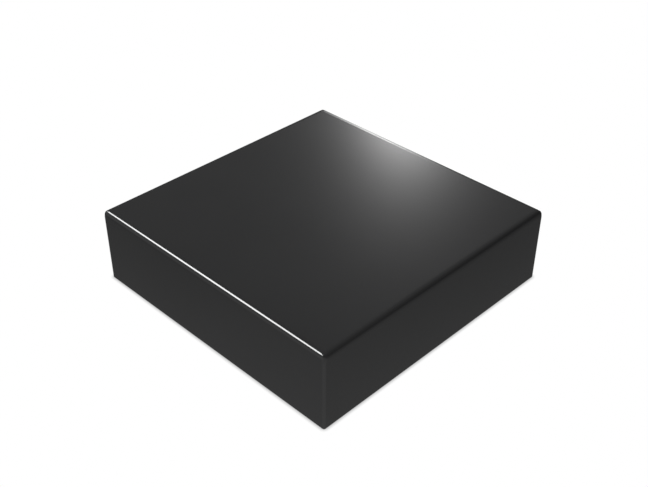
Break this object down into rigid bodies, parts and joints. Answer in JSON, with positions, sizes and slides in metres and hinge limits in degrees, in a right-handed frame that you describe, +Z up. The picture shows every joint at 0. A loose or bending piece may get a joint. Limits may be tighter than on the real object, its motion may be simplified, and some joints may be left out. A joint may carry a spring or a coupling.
{
  "type": "apple box",
  "caption": "Square, low, closed plywood box with eased edges and a black lacquer finish, for standing, sitting or resting gear on in a studio.",
  "frame": {"origin": "centre of the underside, on the surface the box stands on", "axes": "+Z up; X along the length and Y along the width, which are equal; the front faces -Y"},
  "size_m": [0.381, 0.381, 0.1016],
  "materials": {
    "black_lacquer": "satin",
    "birch_plywood": "matte",
    "poplar": "matte",
    "beech": "matte",
    "black_screw_steel": "satin"
  },
  "bodies": {
    "root": {"top_panel": "black_lacquer", "front_wall": "black_lacquer", "right_wall": "black_lacquer", "back_wall": "black_lacquer", "left_wall": "black_lacquer", "bottom_panel": "black_lacquer", "lengthwise_divider": "birch_plywood", "crosswise_divider": "birch_plywood", "front_left_spline": "birch_plywood", "front_right_spline": "birch_plywood", "back_right_spline": "birch_plywood", "back_left_spline": "birch_plywood", "front_left_block": "poplar", "front_right_block": "poplar", "back_right_block": "poplar", "back_left_block": "poplar", "top_dowels": "beech", "block_screws": "black_screw_steel", "bottom_screws": "black_screw_steel"}
  },
  "joints": []
}
